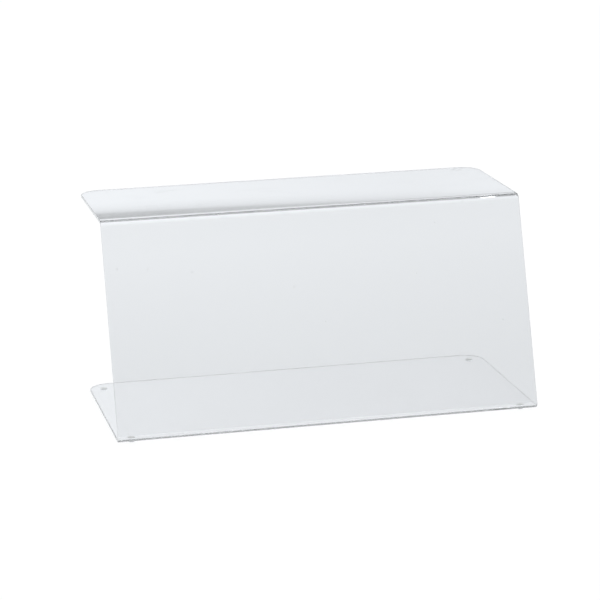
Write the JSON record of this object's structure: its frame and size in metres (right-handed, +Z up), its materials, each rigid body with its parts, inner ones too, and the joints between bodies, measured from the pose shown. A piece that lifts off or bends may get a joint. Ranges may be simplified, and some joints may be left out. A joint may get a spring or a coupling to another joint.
{
  "type": "acrylic counter display",
  "caption": "Clear acrylic sheet bent into a base, a front panel that leans back and a level top shelf, open at the back and standing on stick-on bumper feet.",
  "frame": {"origin": "on the resting surface, under the middle of the overall box", "axes": "+X along the width, +Y towards the open back, so the leaning front panel faces -Y, +Z up"},
  "size_m": [0.6, 0.3094, 0.2962],
  "materials": {
    "clear_acrylic": "clear cast acrylic, polished faces, sawn and polished edges",
    "clear_polyurethane": "clear moulded elastomer, smooth",
    "clear_adhesive": "clear pressure-sensitive adhesive"
  },
  "bodies": {
    "root": {"formed_sheet": "clear_acrylic", "bumper_foot_front_left": "clear_polyurethane", "bumper_foot_front_right": "clear_polyurethane", "bumper_foot_back_left": "clear_polyurethane", "bumper_foot_back_right": "clear_polyurethane", "adhesive_disc_front_left": "clear_adhesive", "adhesive_disc_front_right": "clear_adhesive", "adhesive_disc_back_left": "clear_adhesive", "adhesive_disc_back_right": "clear_adhesive"}
  },
  "joints": []
}
